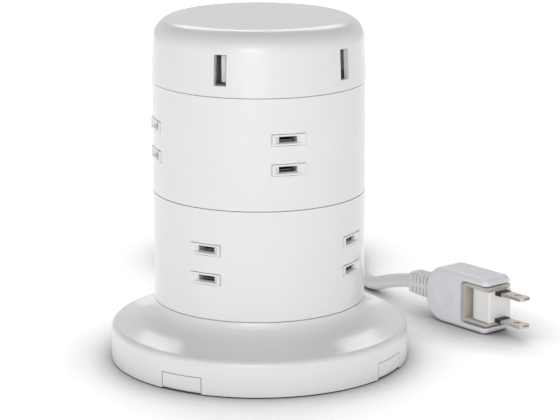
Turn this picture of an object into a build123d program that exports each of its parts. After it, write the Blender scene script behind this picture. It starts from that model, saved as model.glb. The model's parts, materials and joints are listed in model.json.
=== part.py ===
"""Round tower power strip with two outlet tiers, a USB tier and a swing plug.

Millimetres, +Z up.  The origin is the centre of the base, on the surface that it stands on.
A bearing is an angle seen from above: 0 faces the front (-Y) and 90 faces +X.
"""

import os
from math import cos, pi, radians, sin, tan

from build123d import *

os.makedirs("parts", exist_ok=True)

# ------------------------------------------------------------------ driving sizes
# Tower
tower_r = 46.0  # outside radius of the tiers
wall = 2.4  # wall of every housing
deck = 2.0  # floor plate inside the top of every housing
seam = 0.4  # open joint between two housings
seam_low = 27.4  # height of the joint over the base
tier_h = 48.0  # height of one outlet tier
top_z = 150.8  # overall height
lip = 1.2  # outer skin that overlaps a spigot
spigot_h = 2.6
rebate_h = 3.1
fit_gap = 0.1  # clearance between moulded pieces that fit together
wire_hole_r = 10.0

# Outlets: each has two level blade slots, one over the other
outlet_count = 4
upper_first = 16.2  # bearing of the first outlet in the upper tier
lower_first = -29.4
pole_pitch = 12.7  # standard distance between the two blades
plaque_w = 14.4
plaque_h = 4.7
plaque_corner = 0.5
plaque_proud = 0.12
groove_w = 0.25  # fine groove all round each plaque
groove_depth = 1.0
mouth_w = 12.2
mouth_h = 3.2
mouth_depth = 1.5
slot_w = 7.8
slot_h = 2.4

# USB tier
cap_foot_r = 46.3
cap_shoulder_r = 45.5
shoulder = 9.3
usb_count = 5
usb_first = -20.0
usb_z = 134.7
window_w = 5.5
window_h = 13.0
port_w = 5.9
port_h = 13.4
port_depth = 14.0
port_sheet = 0.4
port_set_back = 3.2  # from the tower's radius to the port's front edge
tongue_t = 1.9
tongue_h = 11.1
board_t = 1.6

# Base
base_r = 65.2
rim_h = 13.4  # height of the upright rim wall
rim_roll = 2.8
shelf_slope = 14.0  # degrees, where the skirt meets the rim
neck_slope = 12.0  # degrees from upright, where the skirt meets the tower
ground_gap = 0.6  # rim edge above the surface
plate_t = 2.0
plate_gap = 0.15
pad_r = 5.5
pad_t = 1.4
pad_ring = 52.0

# Pull-out stabiliser feet
foot_count = 4
foot_first = -30.0
foot_w = 18.8
foot_top = 7.5
foot_bottom = 0.5
foot_tail_r = 28.0  # radius of the foot's inner end when it is home
foot_side_gap = 0.4
foot_top_gap = 0.3
foot_travel = 22.0
flange_w = 2.2
flange_len = 10.0
flange_t = 1.9
rail_t = 2.0

# Screws
screw_r = 1.4
screw_head_r = 2.7
screw_head_h = 1.6
boss_r = 3.3
pilot_gap = 0.05

# Mains lead
lead_d = 6.6
gland_bearing = 195.0
gland_z = 7.9
gland_out = 24.0
wire_r = 1.3
wire_offset = 4.0  # of each riser wire from the tower's axis
coil_centre = (-2.0, 166.0)
coil_rows = 2
coil_columns = 4
coil_mid_r = 37.5

# Plug
plug_place = (73.0, 73.0)  # where the lead enters the plug's strain relief
plug_heading = -50.0  # degrees from +X
plug_w = 26.0
plug_len = 40.0
plug_t = 17.0
plug_edge = 2.8
plug_tail_round = 11.0
arm_round = 3.2
pocket_w = 19.8
pocket_depth = 16.5
pocket_round = 2.6
liner_gap = 0.9
liner_t = 1.5
head_gap = 0.2
head_len = 14.5
head_stand = 1.0
head_t = 14.0
blade_len = 16.8
blade_w = 6.3
blade_t = 1.4
sleeve_len = 3.4
sleeve_t = 0.2
relief_out = 15.0
relief_in = 5.0
relief_seat = 3.2  # from the plug's tail to the flange inside its shells
relief_w = 11.2
relief_t = 9.4
relief_end = 0.9  # scale of the relief's free end

# ------------------------------------------------------------------ derived sizes
seam_mid = seam_low + tier_h
seam_top = seam_mid + tier_h
tower_in = tower_r - wall
base_in = base_r - wall
plate_low = ground_gap + 0.2
plate_top = plate_low + plate_t
lead_r = lead_d / 2


def polar(bearing):
    """Angle from +X, as PolarLocations counts it, of a bearing."""
    return bearing - 90.0


def spread(first, count):
    """Bearings of a ring of equal features."""
    return [first + i * 360.0 / count for i in range(count)]


def outward(bearing):
    """Unit vector from the axis towards a bearing."""
    return Vector(sin(radians(bearing)), -cos(radians(bearing)), 0)


def sideways(bearing):
    """Unit vector level and square to a bearing, to its right as seen from outside."""
    return Vector(cos(radians(bearing)), sin(radians(bearing)), 0)


def bearing_plane(bearing, radius, height):
    """Plane facing outwards on a bearing: x sideways, y up."""
    centre = outward(bearing) * radius + Vector(0, 0, height)
    return Plane(origin=centre, x_dir=sideways(bearing), z_dir=outward(bearing))


def radial_plane(bearing, height):
    """Level plane with x along a bearing, starting at the axis."""
    return Plane(origin=(0, 0, height), x_dir=outward(bearing), z_dir=(0, 0, 1))


def save(piece, name):
    """Label a finished piece and write its file."""
    piece.part.label = name
    export_step(piece.part, f"parts/{name}.step")
    return piece


# ------------------------------------------------------------------ fasteners
def screws(name, places, head_z, length, up=True, shank=screw_r):
    """A set of pan-head screws standing on places, with the head's seat at head_z."""
    head_r = screw_head_r * shank / screw_r
    direction = 1 if up else -1
    with BuildPart() as made:
        with BuildSketch(Plane.XY.offset(head_z)):
            with Locations(*places):
                Circle(head_r)
        extrude(amount=-direction * screw_head_h)
        with BuildSketch(Plane.XY.offset(head_z)):
            with Locations(*places):
                Circle(shank)
        extrude(amount=direction * length)
        with BuildSketch(Plane.XY.offset(head_z - direction * screw_head_h)):
            with Locations(*places):
                Rectangle(head_r * 1.2, 0.5)
                Rectangle(0.5, head_r * 1.2)
        extrude(amount=direction * screw_head_h / 2, mode=Mode.SUBTRACT)
    return save(made, name)


def ring_places(bearings, radius):
    """Level positions on a ring."""
    return [tuple(outward(b) * radius)[:2] for b in bearings]


# ------------------------------------------------------------------ outlet tiers
own_boss_ring = 38.0
carrier_post_ring = 32.0
carrier_half = pole_pitch / 2 + 4.65
ear_t = 4.0


def own_bosses(first):
    """Bearings of the bosses that hang in a tier whose first outlet is at first."""
    return spread(first + 22.5, 4)


def carrier_posts(first):
    """Bearings of the posts that hold a tier's contact carrier."""
    return spread(first + 45.0, 4)


cap_boss_ring = 24.0
usb_gaps = spread(usb_first + 36.0, usb_count)
standoff_ring = 36.0
board_z = usb_z - port_h / 2 - board_t


def tier_housing(name, joint, first, deck_places, standoffs):
    """One outlet tier: a tube with a deck at its top, hanging bosses and eight blade slots."""
    low = joint + seam / 2
    high = joint + tier_h - seam / 2
    middle = joint + tier_h / 2
    with BuildPart() as tier:
        with BuildSketch(Plane.XY.offset(low)):
            Circle(tower_r)
            Circle(tower_in, mode=Mode.SUBTRACT)
        extrude(amount=high - low)
        with BuildSketch(Plane.XY.offset(low)):
            Circle(tower_r - lip)
        extrude(amount=rebate_h, mode=Mode.SUBTRACT)
        with BuildSketch(Plane.XY.offset(high - deck)):
            Circle(tower_r - lip)
        extrude(amount=deck)
        with BuildSketch(Plane.XY.offset(high)):
            Circle(tower_r - lip - fit_gap)
            Circle(tower_in, mode=Mode.SUBTRACT)
        extrude(amount=spigot_h)
        # Bosses stand on the deck below and set the width of the open joint.
        with BuildSketch(Plane.XY.offset(low - seam)):
            with Locations(*ring_places(own_bosses(first), own_boss_ring)):
                Circle(boss_r)
        extrude(amount=high - deck - low + seam)
        with BuildSketch(Plane.XY.offset(middle + carrier_half)):
            with Locations(*ring_places(carrier_posts(first), carrier_post_ring)):
                Circle(boss_r)
        extrude(amount=high - deck - middle - carrier_half)
        if standoffs:
            with BuildSketch(Plane.XY.offset(high)):
                with Locations(*ring_places(standoffs, standoff_ring)):
                    Circle(boss_r)
            extrude(amount=board_z - high)
            with BuildSketch(Plane.XY.offset(board_z)):
                with Locations(*ring_places(standoffs, standoff_ring)):
                    Circle(board_screw_r + pilot_gap)
            extrude(amount=-board_screw_grip - fit_gap, mode=Mode.SUBTRACT)
        with BuildSketch(Plane.XY.offset(low - seam)):
            with Locations(*ring_places(own_bosses(first), own_boss_ring)):
                Circle(screw_r + pilot_gap)
        extrude(amount=joint_screw_len, mode=Mode.SUBTRACT)
        with BuildSketch(Plane.XY.offset(middle + carrier_half)):
            with Locations(*ring_places(carrier_posts(first), carrier_post_ring)):
                Circle(screw_r + pilot_gap)
        extrude(amount=carrier_screw_len - ear_t + fit_gap, mode=Mode.SUBTRACT)
        with BuildSketch(Plane.XY.offset(high)):
            Circle(wire_hole_r)
            with Locations(*deck_places):
                Circle(screw_r + fit_gap)
        extrude(amount=-deck, mode=Mode.SUBTRACT)
        for bearing in spread(first, outlet_count):
            for rise in (pole_pitch / 2, -pole_pitch / 2):
                face = bearing_plane(bearing, tower_r + plaque_proud, middle + rise)
                with BuildSketch(face):
                    Rectangle(plaque_w + 2 * groove_w, plaque_h + 2 * groove_w)
                extrude(amount=-plaque_proud - groove_depth, mode=Mode.SUBTRACT)
                with BuildSketch(face):
                    RectangleRounded(plaque_w, plaque_h, plaque_corner)
                extrude(amount=-plaque_proud - wall)
                with BuildSketch(face):
                    Rectangle(mouth_w, mouth_h)
                with BuildSketch(face.offset(-mouth_depth)):
                    Rectangle(slot_w, slot_h)
                loft(mode=Mode.SUBTRACT)
                with BuildSketch(face.offset(-mouth_depth)):
                    Rectangle(slot_w, slot_h)
                extrude(amount=-wall, mode=Mode.SUBTRACT)
    return save(tier, name)


carrier_r = tower_in - 1.2
hub_r = 28.0
arm_w = 14.0
channel_w = 8.0
channel_floor = 1.8  # from a blade's mid plane to the floor under its contact
ring_in = 19.0
ring_out = 24.5
ring_clear = 1.1
leaf_gap = 1.5
leaf_t = 0.5
leaf_w = 6.0
leaf_tip_r = 41.0
bar_t = 0.8
eye_r = 3.0
tab_w = 4.6
live_bearing = gland_bearing + 90.0
neutral_bearing = gland_bearing - 90.0


def contact_carrier(name, joint, first):
    """Moulded cross that holds the live contacts in its top and the neutral ones below."""
    middle = joint + tier_h / 2
    with BuildPart() as carrier:
        with BuildSketch(Plane.XY.offset(middle - carrier_half)):
            Circle(hub_r)
            for bearing in spread(first, outlet_count):
                with Locations(outward(bearing) * carrier_r / 2):
                    Rectangle(carrier_r, arm_w, rotation=polar(bearing))
            Circle(carrier_r, mode=Mode.INTERSECT)
        extrude(amount=2 * carrier_half)
        with BuildSketch(Plane.XY.offset(middle + carrier_half - ear_t)):
            with Locations(*ring_places(carrier_posts(first), carrier_post_ring)):
                Circle(boss_r + 1.2)
        extrude(amount=ear_t)
        with BuildSketch(Plane.XY.offset(middle - carrier_half)):
            Circle(wire_hole_r - 1.0)
            with Locations(*ring_places(carrier_posts(first), carrier_post_ring)):
                Circle(screw_r + fit_gap)
        extrude(amount=2 * carrier_half, mode=Mode.SUBTRACT)
        for side, wire_bearing in ((1, live_bearing), (-1, neutral_bearing)):
            floor_z = middle + side * (pole_pitch / 2 - channel_floor)
            with BuildSketch(Plane.XY.offset(floor_z)):
                Circle(ring_out + ring_clear)
                Circle(ring_in - ring_clear, mode=Mode.SUBTRACT)
                for bearing in spread(first, outlet_count):
                    with Locations(outward(bearing) * (ring_in + carrier_r) / 2):
                        Rectangle(carrier_r - ring_in, channel_w, rotation=polar(bearing))
                with Locations(outward(wire_bearing) * ring_in / 2):
                    Rectangle(ring_in, tab_w + 1.0, rotation=polar(wire_bearing))
            extrude(amount=side * carrier_half, mode=Mode.SUBTRACT)
    return save(carrier, name)


def bus_bar(name, joint, first, side, wire_bearing):
    """Brass ring with a pair of spring leaves per outlet and an eye soldered to its wire."""
    pole_z = joint + tier_h / 2 + side * pole_pitch / 2
    floor_z = pole_z - side * channel_floor
    with BuildPart() as bar:
        with BuildSketch(Plane.XY.offset(floor_z)):
            Circle(ring_out)
            Circle(ring_in, mode=Mode.SUBTRACT)
            with Locations(outward(wire_bearing) * (ring_in + wire_offset + 1.0) / 2):
                Rectangle(ring_in - wire_offset + 1.0, tab_w, rotation=polar(wire_bearing))
            with Locations(outward(wire_bearing) * wire_offset):
                Circle(eye_r)
                Circle(wire_r + pilot_gap, mode=Mode.SUBTRACT)
        extrude(amount=side * bar_t)
        for bearing in spread(first, outlet_count):
            with BuildSketch(Plane.XY.offset(floor_z)):
                with Locations(outward(bearing) * (ring_out - bar_t / 2)):
                    Rectangle(bar_t, leaf_w, rotation=polar(bearing))
            extrude(amount=side * (channel_floor + leaf_gap / 2 + leaf_t))
            for level in (leaf_gap / 2, -leaf_gap / 2 - leaf_t):
                with BuildSketch(Plane.XY.offset(pole_z + level)):
                    with Locations(outward(bearing) * (ring_out - bar_t + leaf_tip_r) / 2):
                        Rectangle(leaf_tip_r - ring_out + bar_t, leaf_w, rotation=polar(bearing))
                extrude(amount=leaf_t)
    return save(bar, name)


joint_screw_len = 8.0
carrier_screw_len = 10.0
board_screw_r = 1.1
board_screw_grip = 3.0

tier_housing(
    "upper_tier_housing",
    seam_mid,
    upper_first,
    ring_places(usb_gaps, cap_boss_ring),
    usb_gaps,
)
tier_housing(
    "lower_tier_housing",
    seam_low,
    lower_first,
    ring_places(own_bosses(upper_first), own_boss_ring),
    [],
)
for level, joint, first in (("upper", seam_mid, upper_first), ("lower", seam_low, lower_first)):
    contact_carrier(f"{level}_contact_carrier", joint, first)
    bus_bar(f"{level}_live_bus_bar", joint, first, 1, live_bearing)
    bus_bar(f"{level}_neutral_bus_bar", joint, first, -1, neutral_bearing)
    screws(
        f"{level}_carrier_screws",
        ring_places(carrier_posts(first), carrier_post_ring),
        joint + tier_h / 2 + carrier_half - ear_t,
        carrier_screw_len,
    )
screws(
    "upper_tier_screws",
    ring_places(own_bosses(upper_first), own_boss_ring),
    seam_mid - seam / 2 - deck,
    deck + joint_screw_len - fit_gap,
)
screws(
    "lower_tier_screws",
    ring_places(own_bosses(lower_first), own_boss_ring),
    seam_low - seam / 2 - deck,
    deck + joint_screw_len - fit_gap,
)

# ------------------------------------------------------------------ USB tier
cap_low = seam_top + seam / 2


def cap_region(inset):
    """Half section of the cap, moved in by inset."""
    foot_r = cap_foot_r - inset
    side_r = cap_shoulder_r - inset
    round_r = shoulder - inset
    crown = top_z - inset
    with BuildLine() as edge:
        Polyline(
            (side_r, crown - round_r),
            (foot_r, cap_low),
            (0, cap_low),
            (0, crown),
            (side_r - round_r, crown),
        )
        CenterArc((side_r - round_r, crown - round_r), round_r, 0, 90)
    make_face(edge.edges())


with BuildPart() as cap_solid:
    with BuildSketch(Plane.XZ):
        cap_region(0)
    revolve(axis=Axis.Z)

with BuildPart() as cap_bosses:
    with BuildSketch(Plane.XY.offset(seam_top - seam / 2)):
        with Locations(*ring_places(usb_gaps, cap_boss_ring)):
            Circle(boss_r)
    extrude(amount=top_z - wall / 2 - seam_top)

with BuildPart() as top_cap:
    add(cap_solid.part)
    with BuildSketch(Plane.XZ):
        cap_region(wall)
    revolve(axis=Axis.Z, mode=Mode.SUBTRACT)
    with BuildSketch(Plane.XY.offset(cap_low)):
        Circle(tower_r - lip)
    extrude(amount=rebate_h, mode=Mode.SUBTRACT)
    add(cap_bosses.part)
    with BuildSketch(Plane.XY.offset(seam_top - seam / 2)):
        with Locations(*ring_places(usb_gaps, cap_boss_ring)):
            Circle(screw_r + pilot_gap)
    extrude(amount=joint_screw_len, mode=Mode.SUBTRACT)
    for bearing in spread(usb_first, usb_count):
        with BuildSketch(bearing_plane(bearing, tower_r + 1.0, usb_z)):
            Rectangle(window_w, window_h)
        extrude(amount=-wall - 3.0, mode=Mode.SUBTRACT)
save(top_cap, "top_cap")
screws(
    "cap_screws",
    ring_places(usb_gaps, cap_boss_ring),
    seam_top - seam / 2 - deck,
    deck + joint_screw_len - fit_gap,
)

port_face_r = tower_r - port_set_back
with BuildPart() as ports:
    for bearing in spread(usb_first, usb_count):
        front = bearing_plane(bearing, port_face_r, usb_z)
        with BuildSketch(front):
            Rectangle(port_w, port_h)
        extrude(amount=-port_depth)
        with BuildSketch(front):
            Rectangle(port_w - 2 * port_sheet, port_h - 2 * port_sheet)
        extrude(amount=-port_depth + port_sheet, mode=Mode.SUBTRACT)
save(ports, "usb_port_shells")

tongue_len = 8.6
tongue_set_back = 1.2
block_len = port_depth - port_sheet - tongue_len - tongue_set_back
with BuildPart() as tongues:
    for bearing in spread(usb_first, usb_count):
        with BuildSketch(bearing_plane(bearing, port_face_r - tongue_set_back, usb_z)):
            Rectangle(tongue_t, tongue_h)
        extrude(amount=-tongue_len)
        with BuildSketch(
            bearing_plane(bearing, port_face_r - tongue_set_back - tongue_len, usb_z)
        ):
            Rectangle(port_w - 2 * port_sheet - fit_gap, port_h - 2 * port_sheet - fit_gap)
        extrude(amount=-block_len + pilot_gap)
save(tongues, "usb_tongues")

contact_t = 0.25
contact_pitches = (-3.5, -1.0, 1.0, 3.5)
with BuildPart() as contacts:
    for bearing in spread(usb_first, usb_count):
        face = bearing_plane(bearing, port_face_r - tongue_set_back - 0.8, usb_z)
        with BuildSketch(face):
            with Locations(*[((tongue_t + contact_t) / 2, y) for y in contact_pitches]):
                Rectangle(contact_t, 1.0)
        extrude(amount=-tongue_len + 1.0)
save(contacts, "usb_contacts")

board_r = tower_in - 1.0
with BuildPart() as board:
    with BuildSketch(Plane.XY.offset(board_z)):
        Circle(board_r)
        with Locations(*ring_places(usb_gaps, cap_boss_ring)):
            Circle(boss_r + 0.4, mode=Mode.SUBTRACT)
        with Locations(*ring_places(usb_gaps, standoff_ring)):
            Circle(board_screw_r + fit_gap, mode=Mode.SUBTRACT)
    extrude(amount=board_t)
save(board, "usb_board")
screws(
    "board_screws",
    ring_places(usb_gaps, standoff_ring),
    board_z + board_t,
    board_t + board_screw_grip,
    up=False,
    shank=board_screw_r,
)

board_top = Plane.XY.offset(board_z + board_t)
with BuildPart() as transformer:
    with BuildSketch(board_top):
        with Locations((0, 8)):
            Rectangle(11.0, 10.0)
    extrude(amount=14.0)
    with BuildSketch(board_top.offset(3.0)):
        with Locations((0, 8)):
            Rectangle(17.0, 13.0)
            Rectangle(12.0, 14.0)
    extrude(amount=8.5)
save(transformer, "usb_transformer")

with BuildPart() as capacitors:
    for x, y, radius, height in ((-13.0, -6.5, 5.0, 15.0), (12.0, -8.0, 4.0, 12.0)):
        with BuildSketch(board_top):
            with Locations((x, y)):
                Circle(radius)
        extrude(amount=height)
    fillet(capacitors.edges().filter_by(GeomType.CIRCLE), 0.4)
save(capacitors, "filter_capacitors")

with BuildPart() as fuse:
    with BuildSketch(board_top):
        with Locations((0, -13.0)):
            Circle(4.2)
    extrude(amount=8.0)
    fillet(fuse.edges().group_by(Axis.Z)[-1], 0.5)
save(fuse, "board_fuse")

with BuildPart() as chips:
    with BuildSketch(board_top):
        with Locations((15.5, 5.0), (-15.5, 5.0)):
            Rectangle(4.0, 6.0)
    extrude(amount=1.6)
    chamfer(chips.edges().group_by(Axis.Z)[-1], 0.3)
save(chips, "controller_chips")

# ------------------------------------------------------------------ base
base_top = seam_low - seam / 2
base_boss_ring = 50.0
base_bosses = spread(36.0, 4)


def skirt_region(inset, crown):
    """Half section of the base: upright rim, small roll, hollow sweep up to the tower."""
    roll = max(rim_roll - inset, 0.4)
    roll_centre = (base_r - inset - roll, rim_h)
    rest = 90.0 - shelf_slope
    join = (
        roll_centre[0] + roll * cos(radians(rest)),
        roll_centre[1] + roll * sin(radians(rest)),
    )
    neck = (tower_r - inset, crown)
    # The control point is where the tangents at the neck and at the rim cross.
    across = join[0] - neck[0]
    fall = neck[1] - join[1]
    slope_out = tan(radians(shelf_slope))
    slope_in = tan(radians(neck_slope))
    reach = (fall - across * slope_out) * slope_in / (1 - slope_out * slope_in)
    knee = (neck[0] + reach, neck[1] - reach / slope_in)
    with BuildLine() as edge:
        Polyline(
            neck,
            (0, crown),
            (0, ground_gap),
            (base_r - inset, ground_gap),
            (base_r - inset, rim_h),
        )
        CenterArc(roll_centre, roll, 0, rest)
        Bezier(join, knee, neck)
    make_face(edge.edges())


with BuildPart() as skirt_solid:
    with BuildSketch(Plane.XZ):
        skirt_region(0, base_top)
    revolve(axis=Axis.Z)

with BuildPart() as skirt_bosses:
    with BuildSketch(Plane.XY.offset(plate_top)):
        with Locations(*ring_places(base_bosses, base_boss_ring)):
            Circle(boss_r)
    extrude(amount=base_top - plate_top)
    add(skirt_solid.part, mode=Mode.INTERSECT)

window_half = foot_w / 2 + foot_side_gap
with BuildPart() as skirt:
    add(skirt_solid.part)
    with BuildSketch(Plane.XZ):
        skirt_region(wall, base_top - deck)
    revolve(axis=Axis.Z, mode=Mode.SUBTRACT)
    add(skirt_bosses.part)
    with BuildSketch(Plane.XY.offset(base_top)):
        Circle(tower_r - lip - fit_gap)
        Circle(tower_in, mode=Mode.SUBTRACT)
    extrude(amount=spigot_h)
    with BuildSketch(Plane.XY.offset(base_top)):
        Circle(wire_hole_r)
        with Locations(*ring_places(own_bosses(lower_first), own_boss_ring)):
            Circle(screw_r + fit_gap)
    extrude(amount=-deck, mode=Mode.SUBTRACT)
    with BuildSketch(Plane.XY.offset(plate_top)):
        with Locations(*ring_places(base_bosses, base_boss_ring)):
            Circle(screw_r + pilot_gap)
    extrude(amount=joint_screw_len, mode=Mode.SUBTRACT)
    for bearing in spread(foot_first, foot_count):
        with BuildSketch(radial_plane(bearing, ground_gap)):
            with Locations((base_r, 0)):
                Rectangle(4 * wall, 2 * window_half)
        extrude(amount=foot_top + foot_top_gap - ground_gap, mode=Mode.SUBTRACT)
    with BuildSketch(bearing_plane(gland_bearing, base_r + 1.0, gland_z)):
        Circle(lead_r + 0.9)
    extrude(amount=-2 * wall, mode=Mode.SUBTRACT)
save(skirt, "base_skirt")

plate_r = base_in - plate_gap
counterbore = 0.4
clamp_ring = 50.0
clamp_reach = 8.0
clamp_t = 3.5
rail_half = foot_w / 2 + flange_w + 0.35
rail_top = foot_top + 0.9
hold_low = plate_top + 0.5 + flange_t + 0.4
with BuildPart() as plate:
    with BuildSketch(Plane.XY.offset(plate_low)):
        Circle(plate_r)
    extrude(amount=plate_t)
    for bearing in spread(foot_first, foot_count):
        with BuildSketch(radial_plane(bearing, plate_low)):
            with Locations(((foot_tail_r - 1.0 + base_r) / 2, 0)):
                Rectangle(base_r - foot_tail_r + 1.0, 2 * window_half)
        extrude(amount=plate_t, mode=Mode.SUBTRACT)
        # Upright rails guide the foot, and their inner lips keep its flanges down.
        rail_mid = (foot_tail_r - 1.0 + base_in - 3.0) / 2
        rail_len = base_in - 3.0 - foot_tail_r + 1.0
        with BuildSketch(radial_plane(bearing, plate_top)):
            with Locations((rail_mid, rail_half + rail_t / 2), (rail_mid, -rail_half - rail_t / 2)):
                Rectangle(rail_len, rail_t)
        extrude(amount=rail_top - plate_top)
        lip_w = flange_w - 0.3
        with BuildSketch(radial_plane(bearing, hold_low)):
            with Locations((rail_mid, rail_half - lip_w / 2), (rail_mid, -rail_half + lip_w / 2)):
                Rectangle(rail_len, lip_w)
        extrude(amount=rail_top - hold_low)
    with BuildSketch(Plane.XY.offset(plate_low)):
        with Locations(*ring_places(base_bosses, base_boss_ring)):
            Circle(screw_r + fit_gap)
    extrude(amount=plate_t, mode=Mode.SUBTRACT)
    with BuildSketch(Plane.XY.offset(plate_low)):
        with Locations(*ring_places(base_bosses, base_boss_ring)):
            Circle(screw_head_r + 0.3)
    extrude(amount=plate_t - counterbore, mode=Mode.SUBTRACT)
    with BuildSketch(Plane.XY.offset(plate_low)):
        with Locations(*ring_places(spread(gland_bearing, 4), pad_ring)):
            Circle(pad_r + fit_gap)
    extrude(amount=pad_t - plate_low, mode=Mode.SUBTRACT)
    # Saddle and two posts of the lead's clamp.
    with BuildSketch(radial_plane(gland_bearing, plate_top)):
        with Locations((clamp_ring, 0)):
            Rectangle(clamp_t * 2, 6.0)
    extrude(amount=gland_z - lead_r - plate_top)
    with BuildSketch(radial_plane(gland_bearing, plate_top)):
        with Locations((clamp_ring, clamp_reach), (clamp_ring, -clamp_reach)):
            Circle(boss_r)
    extrude(amount=gland_z - plate_top)
    with BuildSketch(radial_plane(gland_bearing, gland_z)):
        with Locations((clamp_ring, clamp_reach), (clamp_ring, -clamp_reach)):
            Circle(screw_r + pilot_gap)
    extrude(amount=plate_top - gland_z, mode=Mode.SUBTRACT)
save(plate, "base_plate")
screws(
    "base_screws",
    ring_places(base_bosses, base_boss_ring),
    plate_top - counterbore,
    counterbore + joint_screw_len - fit_gap,
)

with BuildPart() as pads:
    with BuildSketch():
        with Locations(*ring_places(spread(gland_bearing, 4), pad_ring)):
            Circle(pad_r)
    extrude(amount=pad_t)
    chamfer(pads.edges().group_by(Axis.Z)[0], 0.3)
save(pads, "rubber_pads")


def stabiliser_foot(name, bearing):
    """Hollow drawer-like foot whose outer end is part of the rim."""
    with BuildPart() as foot:
        with BuildSketch(radial_plane(bearing, foot_bottom)):
            with Locations(((foot_tail_r + base_r) / 2, 0)):
                Rectangle(base_r - foot_tail_r, foot_w)
        extrude(amount=foot_top - foot_bottom)
        with BuildSketch(Plane.XY.offset(foot_bottom)):
            Circle(base_r)
        extrude(amount=foot_top - foot_bottom, mode=Mode.INTERSECT)
        fillet(foot.faces().filter_by(GeomType.CYLINDER).edges().group_by(Axis.Z)[0], 1.6)
        with BuildSketch(radial_plane(bearing, plate_top + 0.5)):
            with Locations((foot_tail_r + flange_len / 2, 0)):
                Rectangle(flange_len, foot_w + 2 * flange_w)
        extrude(amount=flange_t)
        with BuildSketch(radial_plane(bearing, foot_bottom)):
            with Locations(((foot_tail_r + base_r) / 2 - 1.0, 0)):
                RectangleRounded(base_r - foot_tail_r - 8.0, foot_w - 4.0, 1.5)
        extrude(amount=foot_top - foot_bottom - 2.0, mode=Mode.SUBTRACT)
    return save(foot, name)


for number, bearing in enumerate(spread(foot_first, foot_count), start=1):
    stabiliser_foot(f"stabiliser_foot_{number}", bearing)

# ------------------------------------------------------------------ mains lead in the base
gland_flange_r = lead_r + 1.7
gland_bore_r = lead_r + pilot_gap
gland_collar_r = lead_r + 2.2
gland_tip_r = lead_r + 1.1
gland_end = base_r + gland_out
tail_start = 38.0
with BuildPart() as gland:
    with BuildSketch(bearing_plane(gland_bearing, base_in - 0.5, gland_z)):
        Circle(gland_flange_r)
    extrude(amount=-2.0)
    with BuildSketch(bearing_plane(gland_bearing, base_in - 0.5, gland_z)):
        Circle(lead_r + 0.8)
    extrude(amount=wall + 0.6)
    with BuildSketch(bearing_plane(gland_bearing, base_r + fit_gap, gland_z)):
        Circle(gland_collar_r)
    with BuildSketch(bearing_plane(gland_bearing, gland_end, gland_z)):
        Circle(gland_tip_r)
    loft()
    for step in range(5):
        groove = bearing_plane(gland_bearing, base_r + 5.0 + step * 3.6, gland_z)
        with BuildSketch(groove):
            Circle(gland_collar_r + 1.0)
            Circle(gland_tip_r - 0.4, mode=Mode.SUBTRACT)
        extrude(amount=1.0, mode=Mode.SUBTRACT)
    with BuildSketch(bearing_plane(gland_bearing, base_in - 5.0, gland_z)):
        Circle(gland_bore_r)
    extrude(amount=gland_end - base_in + 6.0, mode=Mode.SUBTRACT)
save(gland, "cord_gland")

with BuildPart() as tail:
    with BuildSketch(bearing_plane(gland_bearing, tail_start, gland_z)):
        Circle(lead_r)
    extrude(amount=gland_end - tail_start)
save(tail, "lead_sheath_end")

with BuildPart() as clamp:
    with BuildSketch(radial_plane(gland_bearing, gland_z)):
        with Locations((clamp_ring, 0)):
            RectangleRounded(2 * clamp_t, 2 * (clamp_reach + boss_r), 2.0)
            with Locations((0, clamp_reach), (0, -clamp_reach)):
                Circle(screw_r + fit_gap, mode=Mode.SUBTRACT)
    extrude(amount=lead_r + 1.6)
    with BuildSketch(bearing_plane(gland_bearing, clamp_ring - 2 * clamp_t, gland_z)):
        Circle(lead_r)
    extrude(amount=4 * clamp_t, mode=Mode.SUBTRACT)
save(clamp, "cord_clamp")

clamp_places = [
    tuple(outward(gland_bearing) * clamp_ring + sideways(gland_bearing) * reach)[:2]
    for reach in (clamp_reach, -clamp_reach)
]
screws(
    "clamp_screws",
    clamp_places,
    gland_z + lead_r + 1.6,
    lead_r + 1.6 + gland_z - plate_top - fit_gap,
    up=False,
)


def riser_wire(name, wire_bearing):
    """Insulated wire from the lead's end, in along the base and up to the USB board."""
    side = outward(wire_bearing)
    start = outward(gland_bearing) * (tail_start - fit_gap) + side * (wire_r + pilot_gap)
    corner = side * wire_offset
    with BuildPart() as wire:
        with BuildLine():
            FilletPolyline(
                start + Vector(0, 0, gland_z),
                corner + Vector(0, 0, gland_z),
                corner + Vector(0, 0, board_z),
                radius=6.0,
            )
        with BuildSketch(Plane(origin=start + Vector(0, 0, gland_z), z_dir=corner - start)):
            Circle(wire_r)
        sweep()
    return save(wire, name)


riser_wire("live_wire", live_bearing)
riser_wire("neutral_wire", neutral_bearing)

# ------------------------------------------------------------------ plug
# The plug lies on its side: its width is upright and its broad faces look sideways.
heading = Vector(cos(radians(plug_heading)), sin(radians(plug_heading)), 0)
up = Vector(0, 0, 1)
broad = heading.cross(up)  # normal of one broad face
plug_start = Vector(plug_place[0], plug_place[1], plug_w / 2)
plug_tail = plug_start + heading * relief_out
cross_plane = Plane(origin=plug_tail, x_dir=up, z_dir=heading)
broad_plane = Plane(origin=plug_tail, x_dir=up, z_dir=-broad)
pocket_floor = plug_len - pocket_depth
pivot_z = plug_len + head_stand - (head_len - head_t / 2)
pivot = plug_tail + heading * pivot_z
swing_plane = Plane(origin=pivot, x_dir=broad, z_dir=up)
liner_out = pocket_w / 2 - liner_gap
liner_in = liner_out - liner_t
liner_half_t = plug_t / 2 - 1.0
head_half = liner_in - head_gap
head_front = plug_len + head_stand
arm_t = (plug_w - pocket_w) / 2
shell_wall = 2.2
pin_r = 2.0
pin_gap = 0.06
pin_start = 4.0
strip_x = (plug_w - arm_t) / 2
strip_t = 0.6
strip_w = 5.0
strip_low = pocket_floor - 5.5
strip_high = pivot_z + strip_w / 2
tail_block = 8.0
neck_w = relief_w - 1.2
neck_t = relief_t - 1.2
plug_wire_r = 1.0
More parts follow.
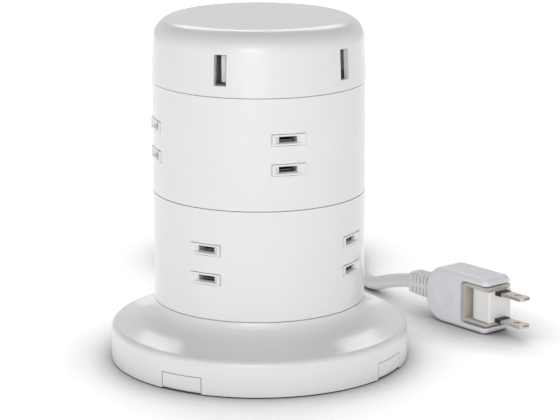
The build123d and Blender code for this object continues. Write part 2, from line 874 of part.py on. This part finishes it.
wire_x = strip_x - strip_t / 2 - plug_wire_r  # of each wire's axis where it lies on its strip
wire_lap = 3.0  # length of a wire on its strip
wire_slot_low = strip_low - wire_lap - 2.0


def block(centre, size, mode=Mode.ADD):
    """Box in the plug's own axes: x across its width, y through it, z towards the blades."""
    with BuildSketch(cross_plane.offset(centre[2] - size[2] / 2)) as section:
        with Locations((centre[0], centre[1])):
            Rectangle(size[0], size[1])
    extrude(section.sketch, amount=size[2], mode=mode)


def pivot_bores(radius, low, high, mode=Mode.SUBTRACT):
    """The same cylinder on both ends of the swing axis."""
    for side in (1, -1):
        with BuildSketch(swing_plane.offset(side * low)) as section:
            Circle(radius)
        extrude(section.sketch, amount=side * (high - low), mode=mode)


with BuildPart() as plug_body:
    with BuildSketch(broad_plane) as outline:
        with Locations((0, plug_len / 2)):
            Rectangle(plug_w, plug_len)
        fillet(outline.vertices().group_by(Axis.Y)[0], plug_tail_round)
        fillet(outline.vertices().group_by(Axis.Y)[-1], arm_round)
    extrude(amount=plug_t / 2, both=True)
    fillet(plug_body.faces().filter_by(Axis((0, 0, 0), broad)).edges(), plug_edge)
    with BuildSketch(broad_plane) as pocket:
        with Locations((0, pocket_floor + pocket_depth)):
            Rectangle(pocket_w, 2 * pocket_depth)
        fillet(pocket.vertices().group_by(Axis.Y)[0], pocket_round)
    extrude(amount=plug_t, both=True, mode=Mode.SUBTRACT)
    with BuildSketch(broad_plane) as cavity:
        with Locations((0, (shell_wall + pocket_floor - deck) / 2)):
            Rectangle(plug_w - 2 * shell_wall, pocket_floor - deck - shell_wall)
        fillet(cavity.vertices().group_by(Axis.Y)[0], plug_tail_round - shell_wall)
    extrude(amount=plug_t / 2 - shell_wall, both=True, mode=Mode.SUBTRACT)
    block((0, 0, pocket_floor), (tail_block + fit_gap, tail_block + fit_gap, 3 * deck), Mode.SUBTRACT)
    block((0, 0, 0), (neck_w + fit_gap, neck_t + fit_gap, 3 * shell_wall), Mode.SUBTRACT)
    slot_mid = (strip_low + strip_high) / 2
    slot_len = strip_high - strip_low + 2 * fit_gap
    for side in (1, -1):
        block(
            (side * strip_x, 0, slot_mid),
            (strip_t + 2 * fit_gap, strip_w + 2 * fit_gap, slot_len),
            Mode.SUBTRACT,
        )
        block(
            (side * wire_x, 0, (wire_slot_low + pocket_floor - deck) / 2),
            (2 * plug_wire_r + 2 * fit_gap, strip_w + 2 * fit_gap, pocket_floor - deck - wire_slot_low),
            Mode.SUBTRACT,
        )
    pivot_bores(pin_r + pilot_gap, pocket_w / 2 - 0.5, strip_x)
    # Shallow finger dimple in each broad face.
    dimple_r = 5.7
    dimple_depth = 0.7
    ball_r = (dimple_r**2 + dimple_depth**2) / (2 * dimple_depth)
    for side in (1, -1):
        centre = plug_tail + heading * (plug_len - 27.0)
        centre += broad * side * (plug_t / 2 - dimple_depth + ball_r)
        with Locations(centre):
            Sphere(ball_r, mode=Mode.SUBTRACT)

for name, side in (("plug_rear_shell", Keep.TOP), ("plug_front_shell", Keep.BOTTOM)):
    with BuildPart() as shell:
        add(plug_body.part)
        split(bisect_by=broad_plane, keep=side)
    save(shell, name)

with BuildPart() as liner:
    liner_low = pocket_floor + liner_gap
    liner_high = plug_len - 0.3
    with BuildSketch(broad_plane) as liner_outline:
        with Locations((0, (liner_low + liner_high) / 2)):
            Rectangle(2 * liner_out, liner_high - liner_low)
        fillet(liner_outline.vertices().group_by(Axis.Y)[0], pocket_round - liner_gap)
        with Locations((0, liner_low + liner_t + plug_len / 2)):
            Rectangle(2 * liner_in, plug_len, mode=Mode.SUBTRACT)
    extrude(amount=liner_half_t, both=True)
    block((0, 0, pocket_floor - deck / 2), (tail_block, tail_block, 2 * deck))
    pivot_bores(pin_r + pilot_gap, liner_in - 0.5, liner_out + 0.5)
save(liner, "plug_liner")

tang_low = pole_pitch / 2 - blade_t / 2
tang_t = 0.9
tang_w = 5.0
tang_eye_r = 3.4


def tang(clearance, mode=Mode.ADD):
    """Flat tangs from the blades back to the swing axis, or the pockets that hold them."""
    for side in (1, -1):
        with BuildSketch(swing_plane.offset(side * (tang_low - clearance))) as section:
            Circle(tang_eye_r + clearance)
            with Locations((0, (head_front - pivot_z) / 2)):
                Rectangle(tang_w + 2 * clearance, head_front - pivot_z)
        extrude(section.sketch, amount=side * (tang_t + 2 * clearance), mode=mode)


with BuildPart() as head:
    with BuildSketch(swing_plane):
        Circle(head_t / 2)
        with Locations((0, (head_front - pivot_z) / 2)):
            Rectangle(head_t, head_front - pivot_z)
    extrude(amount=head_half, both=True)
    front_face = head.faces().sort_by(Axis((0, 0, 0), heading))[-1]
    fillet(front_face.edges().filter_by(Axis.Z), 0.8)
    fillet(head.faces().filter_by(Axis.Z).edges(), 0.6)
    tang(pilot_gap, Mode.SUBTRACT)
    pivot_bores(pin_r + pin_gap, pin_start - fit_gap, head_half + 1.0)
save(head, "plug_head")

blade_hole_r = 1.6
blade_hole_z = 10.6
with BuildPart() as blades:
    for side in (1, -1):
        with BuildSketch(swing_plane.offset(side * tang_low)) as blade:
            with Locations((0, head_front - pivot_z + blade_len / 2)):
                Rectangle(blade_w, blade_len)
            chamfer(blade.vertices().group_by(Axis.Y)[-1], 1.5)
            with Locations((0, head_front - pivot_z + blade_hole_z)):
                Circle(blade_hole_r, mode=Mode.SUBTRACT)
        extrude(amount=side * blade_t)
    tips = blades.faces().group_by(Axis((0, 0, 0), heading))[-1]
    chamfer(tips.edges().filter_by(Axis((0, 0, 0), broad)), 0.45)
    tang(0)
    pivot_bores(pin_r + pin_gap, tang_low - 1.0, tang_low + tang_t + 1.0)
save(blades, "plug_blades")

with BuildPart() as sleeves:
    for side in (1, -1):
        with BuildSketch(cross_plane.offset(head_front)):
            with Locations((side * pole_pitch / 2, 0)):
                Rectangle(blade_t + 2 * sleeve_t, blade_w + 2 * sleeve_t)
                Rectangle(blade_t, blade_w, mode=Mode.SUBTRACT)
        extrude(amount=sleeve_len)
save(sleeves, "blade_sleeves")

with BuildPart() as pins:
    pivot_bores(pin_r, pin_start, strip_x - strip_t / 2, Mode.ADD)
save(pins, "plug_pivot_pins")

with BuildPart() as strips:
    for side in (1, -1):
        block((side * strip_x, 0, slot_mid), (strip_t, strip_w, strip_high - strip_low))
save(strips, "plug_contact_strips")

with BuildPart() as relief:
    with BuildSketch(cross_plane):
        RectangleRounded(relief_w, relief_t, 2.0)
    with BuildSketch(cross_plane.offset(-relief_out)):
        RectangleRounded(relief_w * relief_end, relief_t * relief_end, 2.0 * relief_end)
    loft()
    block((0, 0, relief_seat / 2), (neck_w, neck_t, relief_seat))
    block((0, 0, (relief_seat + relief_in) / 2), (relief_w, relief_t, relief_in - relief_seat))
    for step in range(5):
        with BuildSketch(cross_plane.offset(-2.2 - 2.43 * step)):
            Rectangle(relief_w + 2.0, relief_t + 2.0)
            Rectangle(relief_w - 3.4, relief_t - 2.4, mode=Mode.SUBTRACT)
            Rectangle(2.2, relief_t + 2.0, mode=Mode.SUBTRACT)
        extrude(amount=-0.65, mode=Mode.SUBTRACT)
save(relief, "plug_strain_relief")

with BuildPart() as plug_wires:
    for side in (1, -1):
        start = plug_tail + heading * relief_in + up * side * (plug_wire_r + fit_gap)
        with BuildLine() as wire_path:
            FilletPolyline(
                start,
                start + heading * 3.5,
                plug_tail + heading * (strip_low - wire_lap) + up * side * wire_x,
                plug_tail + heading * (strip_low + wire_lap) + up * side * wire_x,
                radius=2.5,
            )
        with BuildSketch(Plane(origin=start, z_dir=heading)):
            Circle(plug_wire_r)
        sweep(path=wire_path.line)
save(plug_wires, "plug_wires")

# ------------------------------------------------------------------ mains lead
coil_outer_turn = coil_mid_r + (coil_columns - 1) * lead_r  # radius of the outermost turn's axis
coil_half_w = coil_columns * lead_r
coil_top = coil_rows * lead_d
with BuildPart() as coil:
    with BuildSketch():
        with Locations(coil_centre):
            Circle(coil_mid_r + coil_half_w)
            Circle(coil_mid_r - coil_half_w, mode=Mode.SUBTRACT)
    extrude(amount=coil_top)
    fillet(coil.edges(), lead_r * 0.9)
save(coil, "mains_lead_coil")

# The lead leaves its gland in line with it, and joins the coil along its outermost turn.
gland_mouth = outward(gland_bearing) * gland_end + Vector(0, 0, gland_z)
route_to_coil = [
    tuple(gland_mouth),
    tuple(gland_mouth + outward(gland_bearing) * 15.0),
    (-36.0, 117.0, 5.0),
    (-44.5, 133.5, 3.5),
    (-48.9, 150.0, 3.3),
    (coil_centre[0] - coil_outer_turn, coil_centre[1], lead_r),
]
# From the coil's top turn the lead comes down to the floor, then rises to the plug.
route_to_plug = [
    (coil_centre[0] + coil_outer_turn, coil_centre[1], coil_top - lead_r),
    (45.6, 150.0, 9.4),
    (46.6, 132.0, 4.2),
    (49.4, 115.0, 3.3),
    (54.5, 100.5, 3.5),
    (64.0, 85.5, 10.2),
    tuple(plug_start),
]


def lead(name, route):
    """Lead laid in straight runs joined by the largest tangent arcs they allow."""
    points = [Vector(*point) for point in route]
    radii = []
    for before, here, after in zip(points, points[1:], points[2:]):
        turn = (here - before).get_angle(after - here)
        shorter = min((here - before).length, (after - here).length)
        radii.append(0.45 * shorter / tan(radians(turn / 2)))
    with BuildPart() as made:
        with BuildLine() as path:
            FilletPolyline(*points, radius=radii)
        with BuildSketch(Plane(origin=points[0], z_dir=points[1] - points[0])):
            Circle(lead_r)
        sweep(path=path.line)
    length = path.wires()[0].length
    swept = made.part.volume / (pi * lead_r**2)
    print(name, "radii", [round(r, 1) for r in radii])
    print(name, "length", round(length, 1), "volume over section", round(swept, 1))
    return save(made, name)


lead("mains_lead_to_coil", route_to_coil)
lead("mains_lead_to_plug", route_to_plug)
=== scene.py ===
"""Looks of the round tower power strip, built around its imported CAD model.

Metres, +Z up, front towards -Y.
"""

import json
from math import cos, pi, sin

import bpy
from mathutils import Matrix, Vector


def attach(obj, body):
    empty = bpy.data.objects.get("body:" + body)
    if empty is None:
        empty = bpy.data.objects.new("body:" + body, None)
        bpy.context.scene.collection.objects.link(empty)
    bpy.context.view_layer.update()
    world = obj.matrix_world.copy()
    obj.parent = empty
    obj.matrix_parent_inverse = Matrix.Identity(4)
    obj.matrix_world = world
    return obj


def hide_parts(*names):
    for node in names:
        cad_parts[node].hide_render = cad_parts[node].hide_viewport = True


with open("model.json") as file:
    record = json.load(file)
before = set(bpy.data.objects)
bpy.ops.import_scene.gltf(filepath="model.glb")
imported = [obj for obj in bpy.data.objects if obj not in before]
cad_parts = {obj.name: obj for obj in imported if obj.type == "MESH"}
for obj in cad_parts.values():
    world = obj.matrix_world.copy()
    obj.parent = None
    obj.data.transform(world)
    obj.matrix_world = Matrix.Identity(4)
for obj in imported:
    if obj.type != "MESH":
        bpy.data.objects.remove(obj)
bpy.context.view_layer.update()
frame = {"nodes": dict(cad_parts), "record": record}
scene = bpy.context.scene

# ------------------------------------------------------------------ camera
SENSOR = 0.036
CAMERA_LENS = 153.18  # millimetres
CAMERA_PLACE = (0.00908, -1.0098, 0.3122)
CAMERA_DIP = 0.24  # radians below the horizon
NEAREST = 0.05
FARTHEST = 20.0
camera_data = bpy.data.cameras.new("camera")
camera_data.sensor_width = SENSOR * 1000
camera_data.lens = CAMERA_LENS
camera_data.clip_start = NEAREST
camera_data.clip_end = FARTHEST
camera = bpy.data.objects.new("camera", camera_data)
camera.location = CAMERA_PLACE
camera.rotation_euler = (pi / 2 - CAMERA_DIP, 0, 0)
scene.collection.objects.link(camera)
scene.camera = camera

# ------------------------------------------------------------------ mains lead
LEAD_D = 0.0066
LEAD_R = LEAD_D / 2
COIL_CENTRE = Vector((-0.002, 0.166))
COIL_INNER = 0.0276  # radius of the innermost turn's axis
COIL_TURNS = 6.5
POINTS_PER_TURN = 24
RISE_TURNS = 0.4  # share of a turn over which the lead climbs from the lower layer to the upper one
RISE_PINCH = 0.0006

ROUTE_TO_COIL = [
    (-0.02309, 0.08616, 0.0079),
    (-0.02697, 0.10065, 0.0079),
    (-0.0360, 0.1170, 0.0050),
    (-0.0445, 0.1335, 0.0035),
    (-0.0489, 0.1500, 0.0033),
]
ROUTE_TO_PLUG = [
    (0.0456, 0.1500, 0.0094),
    (0.0466, 0.1320, 0.0042),
    (0.0494, 0.1150, 0.0033),
    (0.0545, 0.1005, 0.0035),
    (0.0640, 0.0855, 0.0102),
    (0.0730, 0.0730, 0.0130),
]


def coil_point(turns):
    """Point on the coil: spiral in along the floor, a climb at the inner turn, and spiral out on top."""
    if turns < 3.0:
        radius = COIL_INNER + LEAD_D * (3.0 - turns)
        height = LEAD_R
    elif turns < 3.5:
        climb = min((turns - 3.0) / RISE_TURNS, 1.0)
        radius = COIL_INNER - RISE_PINCH * sin(pi * climb)
        height = LEAD_R + LEAD_D * climb * climb * (3 - 2 * climb)
    else:
        radius = COIL_INNER + LEAD_D * (turns - 3.5)
        height = LEAD_R + LEAD_D
    # A control polygon lies outside its curve, so its corners stand out by this share.
    radius /= cos(pi / POINTS_PER_TURN)
    angle = pi - 2 * pi * turns
    return (COIL_CENTRE.x + radius * cos(angle), COIL_CENTRE.y + radius * sin(angle), height)


def make_lead():
    """The whole free lead as one spline, from the gland round the coil to the plug."""
    steps = int(COIL_TURNS * POINTS_PER_TURN)
    coil = [coil_point(i / POINTS_PER_TURN) for i in range(steps + 1)]
    points = ROUTE_TO_COIL + coil + ROUTE_TO_PLUG
    curve = bpy.data.curves.new("mains_lead", "CURVE")
    curve.dimensions = "3D"
    curve.bevel_depth = 1.0  # each point's own radius sets the thickness
    curve.bevel_resolution = 8
    curve.resolution_u = 6
    curve.use_fill_caps = True
    spline = curve.splines.new("NURBS")
    spline.points.add(len(points) - 1)
    for point, place in zip(spline.points, points):
        point.co = (*place, 1.0)
        point.radius = LEAD_R
    spline.order_u = 3
    spline.use_endpoint_u = True
    lead = bpy.data.objects.new("mains_lead", curve)
    scene.collection.objects.link(lead)
    return lead


mains_lead = make_lead()
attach(mains_lead, "root")
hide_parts("mains_lead_coil", "mains_lead_to_coil", "mains_lead_to_plug")


# ------------------------------------------------------------------ materials
def node_material(name):
    """Empty node material: returns it with its tree, its main shader and object coordinates."""
    material = bpy.data.materials.new(name)
    material.use_nodes = True
    tree = material.node_tree
    shader = tree.nodes["Principled BSDF"]
    place = tree.nodes.new("ShaderNodeTexCoord").outputs["Object"]
    return material, tree, shader, place


def noise(tree, place, size, detail=2.0, roughness=0.5):
    """Noise whose lumps are about size metres across."""
    node = tree.nodes.new("ShaderNodeTexNoise")
    node.inputs["Scale"].default_value = 1.0 / size
    node.inputs["Detail"].default_value = detail
    node.inputs["Roughness"].default_value = roughness
    tree.links.new(place, node.inputs["Vector"])
    return node.outputs["Fac"]


def spread_over(tree, factor, low, high):
    """Map a factor of about 0.3 to 0.7 onto a range."""
    node = tree.nodes.new("ShaderNodeMapRange")
    node.inputs["From Min"].default_value = 0.3
    node.inputs["From Max"].default_value = 0.7
    node.inputs["To Min"].default_value = low
    node.inputs["To Max"].default_value = high
    tree.links.new(factor, node.inputs["Value"])
    return node.outputs["Result"]


def blend_colours(tree, factor, dark, light):
    """Colour between two values by a factor."""
    node = tree.nodes.new("ShaderNodeMix")
    node.data_type = "RGBA"
    node.inputs["A"].default_value = (*dark, 1)
    node.inputs["B"].default_value = (*light, 1)
    tree.links.new(factor, node.inputs["Factor"])
    return node.outputs["Result"]


def bump(tree, shader, heights):
    """Bumps one after another: each is a factor with its height in metres."""
    normal = None
    for factor, height in heights:
        node = tree.nodes.new("ShaderNodeBump")
        node.inputs["Strength"].default_value = 1.0
        node.inputs["Distance"].default_value = height
        tree.links.new(factor, node.inputs["Height"])
        if normal:
            tree.links.new(normal, node.inputs["Normal"])
        normal = node.outputs["Normal"]
    tree.links.new(normal, shader.inputs["Normal"])


def shade(colour, share):
    """A colour made lighter or darker by a share."""
    return tuple(min(1.0, c * share) for c in colour)


def plastic(name, colour, rough, grain=0.00035, depth=0.000006, mottle=0.012, coat=0.0):
    """Moulded plastic: slow colour drift, sheen drift, and a fine spark-eroded grain."""
    material, tree, shader, place = node_material(name)
    drift = spread_over(tree, noise(tree, place, 0.03, 3.0), 0.0, 1.0)
    colours = blend_colours(tree, drift, shade(colour, 1 - mottle), shade(colour, 1 + mottle))
    tree.links.new(colours, shader.inputs["Base Color"])
    sheen = spread_over(tree, noise(tree, place, 0.012, 4.0, 0.6), rough - 0.04, rough + 0.05)
    tree.links.new(sheen, shader.inputs["Roughness"])
    bump(tree, shader, [(noise(tree, place, 0.008), depth * 2), (noise(tree, place, grain, 3.0, 0.6), depth)])
    shader.inputs["Coat Weight"].default_value = coat
    shader.inputs["Coat Roughness"].default_value = 0.15
    return material


def metal(name, colour, rough, grain_axis=(1, 1, 12), tarnish=0.06):
    """Pressed or drawn metal: fine drawn lines along one axis, and patches of tarnish."""
    material, tree, shader, place = node_material(name)
    stretch = tree.nodes.new("ShaderNodeMapping")
    stretch.inputs["Scale"].default_value = grain_axis
    tree.links.new(place, stretch.inputs["Vector"])
    lines = noise(tree, stretch.outputs["Vector"], 0.0006, 4.0, 0.7)
    patches = spread_over(tree, noise(tree, place, 0.004, 4.0), 0.0, 1.0)
    colours = blend_colours(tree, patches, shade(colour, 1 - tarnish), shade(colour, 1 + tarnish))
    tree.links.new(colours, shader.inputs["Base Color"])
    tree.links.new(spread_over(tree, lines, rough - 0.06, rough + 0.1), shader.inputs["Roughness"])
    shader.inputs["Metallic"].default_value = 1.0
    bump(tree, shader, [(lines, 0.000004)])
    return material


def rubber(name, colour):
    """Dull rubber with a dusty bloom."""
    return plastic(name, colour, 0.75, grain=0.0005, depth=0.00002, mottle=0.12)


MATERIALS = {
    "housing_white": plastic("housing_white", (0.78, 0.78, 0.79), 0.33, coat=0.8),
    "base_grey": plastic("base_grey", (0.42, 0.43, 0.44), 0.55),
    "carrier_plastic": plastic("carrier_plastic", (0.70, 0.69, 0.64), 0.55),
    "contact_tin": metal("contact_tin", (0.50, 0.48, 0.45), 0.38),
    "port_steel": metal("port_steel", (0.62, 0.62, 0.63), 0.30),
    "tongue_white": plastic("tongue_white", (0.78, 0.78, 0.77), 0.45),
    "contact_gold": metal("contact_gold", (0.86, 0.68, 0.30), 0.25),
    "board_green": plastic("board_green", (0.03, 0.20, 0.08), 0.35, mottle=0.1),
    "transformer_core": plastic("transformer_core", (0.05, 0.05, 0.05), 0.6),
    "capacitor_sleeve": plastic("capacitor_sleeve", (0.03, 0.04, 0.10), 0.3),
    "fuse_case": plastic("fuse_case", (0.08, 0.06, 0.05), 0.5),
    "chip_black": plastic("chip_black", (0.02, 0.02, 0.02), 0.5),
    "pad_rubber": rubber("pad_rubber", (0.16, 0.16, 0.16)),
    "lead_white": plastic("lead_white", (0.76, 0.76, 0.77), 0.42, grain=0.0008, depth=0.00001),
    "wire_black": plastic("wire_black", (0.02, 0.02, 0.02), 0.35),
    "wire_white": plastic("wire_white", (0.80, 0.80, 0.80), 0.35),
    "plug_white": plastic("plug_white", (0.80, 0.79, 0.83), 0.36),
    "liner_beige": plastic("liner_beige", (0.55, 0.51, 0.45), 0.45, mottle=0.03),
    "head_white": plastic("head_white", (0.84, 0.83, 0.82), 0.40),
    "blade_nickel": metal("blade_nickel", (0.62, 0.56, 0.52), 0.26),
    "sleeve_black": plastic("sleeve_black", (0.015, 0.016, 0.018), 0.45),
    "screw_steel": metal("screw_steel", (0.60, 0.60, 0.60), 0.34),
}


def dress(piece, material):
    """Give a piece one material all over."""
    piece.data.materials.clear()
    piece.data.materials.append(material)


for part in frame["record"]["subparts"]:
    dress(frame["nodes"][part["node"]], MATERIALS[part["material_slot"]])
dress(mains_lead, MATERIALS["lead_white"])


# ------------------------------------------------------------------ stage and light
SKY_LOW = 0.75
SKY_HIGH = 0.26
FLOOR_GLOW = 0.42
FLOOR_HALF = 4.0
PAINTED_SHADOW_REACH = 0.035  # how far from an object the floor carries a painted shadow
PAINTED_SHADOW_POWER = 2.0  # how fast the floor's emission falls off there, which makes that painted shadow darker


def make_floor():
    """Pale studio floor, wide enough to fill the view, with a contact shadow painted around whatever stands
    on it.
    """
    mesh = bpy.data.meshes.new("floor")
    corners = [
        (-FLOOR_HALF, -FLOOR_HALF, 0),
        (FLOOR_HALF, -FLOOR_HALF, 0),
        (FLOOR_HALF, FLOOR_HALF * 3, 0),
        (-FLOOR_HALF, FLOOR_HALF * 3, 0),
    ]
    mesh.from_pydata(corners, [], [(0, 1, 2, 3)])
    floor = bpy.data.objects.new("floor", mesh)
    scene.collection.objects.link(floor)
    material, tree, shader, place = node_material("floor_paper")
    drift = spread_over(tree, noise(tree, place, 0.4, 2.0), 0.0, 1.0)
    # Painted contact shadow: an occlusion factor darkens the paper's colour near whatever stands on it.
    painted_shadow_ao = tree.nodes.new("ShaderNodeAmbientOcclusion")
    painted_shadow_ao.inputs["Distance"].default_value = PAINTED_SHADOW_REACH
    paper = blend_colours(tree, drift, (0.93, 0.93, 0.93), (0.95, 0.95, 0.95))
    tree.links.new(paper, painted_shadow_ao.inputs["Color"])
    tree.links.new(painted_shadow_ao.outputs["Color"], shader.inputs["Base Color"])
    shader.inputs["Roughness"].default_value = 0.9
    shader.inputs["Emission Color"].default_value = (1, 1, 1, 1)
    # Painted contact shadow: the same occlusion factor, raised to a power, dims the floor's emission near
    # objects.
    painted_shadow_falloff = tree.nodes.new("ShaderNodeMath")
    painted_shadow_falloff.operation = "POWER"
    painted_shadow_falloff.inputs[1].default_value = PAINTED_SHADOW_POWER
    tree.links.new(painted_shadow_ao.outputs["AO"], painted_shadow_falloff.inputs[0])
    emission_with_painted_shadow = tree.nodes.new("ShaderNodeMath")
    emission_with_painted_shadow.operation = "MULTIPLY"
    emission_with_painted_shadow.inputs[1].default_value = FLOOR_GLOW
    tree.links.new(painted_shadow_falloff.outputs["Value"], emission_with_painted_shadow.inputs[0])
    tree.links.new(emission_with_painted_shadow.outputs["Value"], shader.inputs["Emission Strength"])
    dress(floor, material)


def soft_light(name, place, target, width, height, power, glossy=True, diffuse=True):
    """Rectangular area light that faces a point; glossy or diffuse lighting can be switched off."""
    data = bpy.data.lights.new(name, "AREA")
    data.shape = "RECTANGLE"
    data.size = width
    data.size_y = height
    data.energy = power
    light = bpy.data.objects.new(name, data)
    light.location = place
    light.rotation_euler = (Vector(target) - Vector(place)).to_track_quat("-Z", "Y").to_euler()
    light.visible_glossy = glossy
    light.visible_diffuse = diffuse
    scene.collection.objects.link(light)


def studio_sky():
    """Even studio light: bright near the horizon and dimmer overhead."""
    world = bpy.data.worlds.new("studio")
    world.use_nodes = True
    tree = world.node_tree
    direction = tree.nodes.new("ShaderNodeTexCoord").outputs["Generated"]
    split = tree.nodes.new("ShaderNodeSeparateXYZ")
    tree.links.new(direction, split.inputs["Vector"])
    fade = tree.nodes.new("ShaderNodeMapRange")
    fade.interpolation_type = "SMOOTHSTEP"
    fade.inputs["From Min"].default_value = 0.2
    fade.inputs["From Max"].default_value = 0.75
    fade.inputs["To Min"].default_value = SKY_LOW
    fade.inputs["To Max"].default_value = SKY_HIGH
    tree.links.new(split.outputs["Z"], fade.inputs["Value"])
    background = tree.nodes["Background"]
    background.inputs["Color"].default_value = (1, 1, 1, 1)
    tree.links.new(fade.outputs["Result"], background.inputs["Strength"])
    scene.world = world


make_floor()
studio_sky()
soft_light("key", (-0.15, -1.5, 0.95), (0, 0, 0.07), 1.8, 1.1, 5.4)
soft_light("front", (-0.2, -1.9, 0.45), (0, 0, 0.07), 0.9, 0.9, 5.6)
soft_light("back", (0.0, 1.5, 1.15), (0, 0, 0.1), 1.2, 0.5, 11.0, glossy=False)
soft_light("sheen", (0.0, 1.5, 1.35), (0, 0, 0.1), 1.6, 0.7, 8.4, diffuse=False)
scene.view_settings.view_transform = "Standard"

bpy.context.view_layer.update()
